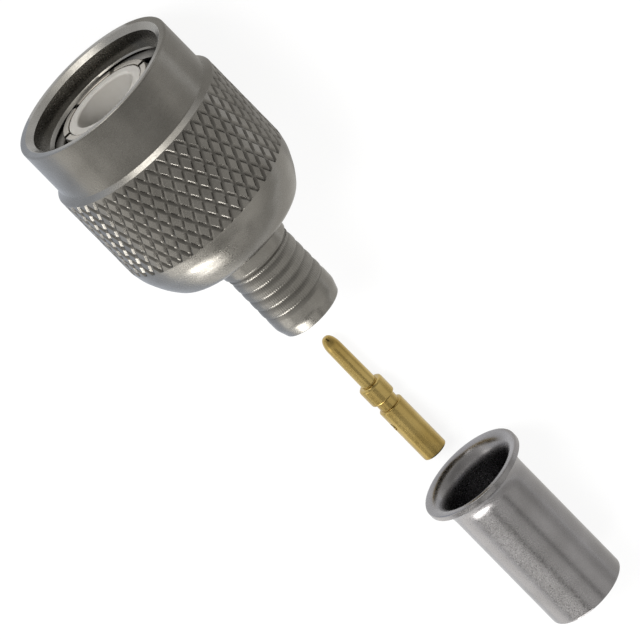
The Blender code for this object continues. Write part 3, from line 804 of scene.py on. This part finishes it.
# %% Sleeve's whole ring
RING_COLUMNS = 120
ring_section = np.array([
    (SLOT_END - 0.02, SLEEVE_IN), (SLOT_END - 0.02, SLEEVE_OUT),
    (SLEEVE_REAR, SLEEVE_OUT), (SLEEVE_REAR, SLEEVE_IN)])
ring_angles = np.arange(RING_COLUMNS)[None] * 2 * math.pi / RING_COLUMNS
ring_points = turned_points(ring_section[:, :1], ring_section[:, 1:], ring_angles).reshape(-1, 3)
ring_faces = grid_faces(len(ring_section), RING_COLUMNS) + len(finger_points)
make_piece("slotted_sleeve", placed(np.concatenate([finger_points, ring_points]), PLUG_START),
           finger_faces + [ring_faces], bright_nickel, "root", ["outer_contact"])

# %% [markdown]
# ## Insulator and ferrule
# The insulator is a cup turned from PTFE rod. The ferrule is a drawn tube whose mouth is
# flared over a cone, so that it slides over the cable's braid. Both are plain turned
# pieces, so each is only its section.

# %% One turned piece
def turned_piece(name, section, columns, finish, body, nodes, start, tilt=0.0):
    """Each section point (x, radius) goes round the axis in equal steps, and the section closes on itself."""
    angle = np.arange(columns)[None] * 2 * math.pi / columns
    points = turned_points(section[:, :1], section[:, 1:2], angle).reshape(-1, 3)
    make_piece(name, placed(points, start, tilt), [grid_faces(len(section), columns)], finish, body, nodes)


CUP_FRONT, CUP_FLOOR, CUP_REAR = 1.4, 6.9, 11.17
CUP_IN, CUP_OUT, PIN_HOLE = 2.7, 3.5, 1.1
turned_piece("ptfe_insulator", eased([
    (CUP_FRONT + 0.1, CUP_IN, 0.05), (CUP_FRONT, CUP_IN + 0.1, 0.05), (CUP_FRONT, CUP_OUT, 0.1),
    (CUP_REAR, CUP_OUT, 0.05), (CUP_REAR, PIN_HOLE, 0.05), (CUP_FLOOR, PIN_HOLE, 0.05),
    (CUP_FLOOR, CUP_IN, 0.1),
]), 144, white_ptfe, "root", ["front_insulator"], PLUG_START)

# %% Ferrule
LIP, BELL_LENGTH = 0.25, 1.6
flare_end = FLARE_BAND + FLARE_LENGTH
turned_piece("flared_ferrule", eased([
    (0.0, FLARE_RADIUS, 0.12),
    *reversed(arc(flare_end, FERRULE_RADIUS, FLARE_BAND, FLARE_RADIUS, 10)),
    (FERRULE_LENGTH, FERRULE_RADIUS, 0.12), (FERRULE_LENGTH, FERRULE_BORE, 0.08),
    *reversed(arc(0.0, FLARE_RADIUS - LIP, BELL_LENGTH, FERRULE_BORE, 14, along_first=False)),
]), 160, cool_nickel, "root", ["crimp_ferrule"], FERRULE_START, FERRULE_TILT)

# %% [markdown]
# ## Pin
# The pin is turned too, with a round nose, a collar, a neck and a barrel for the cable's inner
# wire. A hole is drilled through the barrel's side, so that one sees the wire arrive. The
# barrel's grid is warped there, so that its squares become circles round the hole.

# %% Pin section
PIN_LENGTH, PIN_RADIUS, PIN_BORE = 12.6, 1.05, 0.66
TIP_RADIUS, NOSE_RADIUS, NOSE_LENGTH, SHANK_RADIUS = 0.13, 0.62, 1.1, 0.65
BORE_DEPTH, DRILL_POINT_DEPTH, NEARLY_AXIS = 4.3, 4.6, 0.012
COLLAR_FRONT, COLLAR_REAR, BARREL_FRONT, NECK_RADIUS = 5.08, 6.68, 7.43, 0.83
HOLE_AT, HOLE_RADIUS, HOLE_DEPTH, HOLE_TURN = 8.88, 0.36, 0.33, math.radians(168)
RING_STEPS = HOLE_RADIUS * np.array([0.3, 0.6, 0.85, 0.93, 1.0, 1.08, 1.25, 1.6, 2.0])
around_hole = np.concatenate([-RING_STEPS[::-1], [0.0], RING_STEPS])
barrel_rows = [(HOLE_AT + step, PIN_RADIUS, 0.0) for step in around_hole.tolist()]
pin_section = eased([
    (0.0, NEARLY_AXIS, 0.0), *arc(0.0, TIP_RADIUS, NOSE_LENGTH, NOSE_RADIUS, 8, along_first=False),
    (COLLAR_FRONT, SHANK_RADIUS, 0.02), (COLLAR_FRONT, PIN_RADIUS, 0.22), (COLLAR_REAR, PIN_RADIUS, 0.13),
    (COLLAR_REAR, NECK_RADIUS, 0.04), (BARREL_FRONT, NECK_RADIUS, 0.04), (BARREL_FRONT, PIN_RADIUS, 0.13),
    *barrel_rows, (PIN_LENGTH, PIN_RADIUS, 0.1), (PIN_LENGTH, PIN_BORE, 0.08),
    (PIN_LENGTH - BORE_DEPTH, PIN_BORE, 0.0), (PIN_LENGTH - DRILL_POINT_DEPTH, NEARLY_AXIS, 0.0),
], closed=False, steps=3)
print("pin section", len(pin_section), "points")

# %% Pin with its sight hole
HOLE_WALL = 0.07 * HOLE_RADIUS
REST_COLUMNS = 71
BORE_SHADE = 0.9


def sight_hole(x, angle):
    """Squares to circles: a point is pulled in by its larger offset over its distance, less outside."""
    u, v = x - HOLE_AT, PIN_RADIUS * (angle - HOLE_TURN)
    larger = np.maximum(np.abs(u), np.abs(v))
    distance = np.maximum(np.hypot(u, v), 1e-9)
    reach = RING_STEPS[-1]
    fade = np.clip((reach - larger) / (reach - HOLE_RADIUS), 0, 1)
    pull = 1 + (larger / distance - 1) * fade
    inside = np.clip((HOLE_RADIUS - larger) / HOLE_WALL, 0, 1)
    return HOLE_AT + u * pull, HOLE_TURN + v * pull / PIN_RADIUS, inside


def gold_pin():
    """Turned section; near the hole x and angle are warped and the radius drops by the hole's depth."""
    near = HOLE_TURN + around_hole / PIN_RADIUS
    rest = np.linspace(near[-1], near[0] + 2 * math.pi, REST_COLUMNS + 2)[1:-1]
    angle = np.concatenate([near, rest])[None]
    x, radius = pin_section[:, :1], pin_section[:, 1:2]
    barrel = (np.abs(x - HOLE_AT) < RING_STEPS[-1] + 0.01) & (radius > PIN_RADIUS - 0.01)
    warped_x, warped_angle, inside = sight_hole(x, angle)
    points = turned_points(np.where(barrel, warped_x, x + 0 * angle),
                           np.where(barrel, radius - HOLE_DEPTH * inside, radius + 0 * angle),
                           np.where(barrel, warped_angle, angle + 0 * x))
    rows, columns = points.shape[:2]
    sides = grid_faces(rows, columns, close_rows=False)
    ends = [np.arange(columns)[::-1][None], (rows - 1) * columns + np.arange(columns)[None]]
    # Painted shade: the metal darkens inside the sight hole and in the last rows of the bore, through the
    # attribute recess.
    recess = np.where(barrel, inside, 0.0)
    recess[-2:] = BORE_SHADE
    make_piece("gold_pin", placed(points.reshape(-1, 3), PIN_START), [sides, *ends], gold_plate, "root",
               ["center_contact"], recess)


gold_pin()

# %% [markdown]
# ## Pieces that stay
# The rear insulator, the gasket and the retaining ring are simple rings deep inside the plug.
# The engineering model already has their shape, so they only get their finish.

# %% Finishes of the pieces that stay as the frame has them
for node, finish in (("rear_insulator", white_ptfe), ("gasket", silicone), ("retaining_ring", spring_steel)):
    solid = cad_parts[node]
    solid.data.materials.clear()
    solid.data.materials.append(finish)
    print(node, "finished in", finish.name)
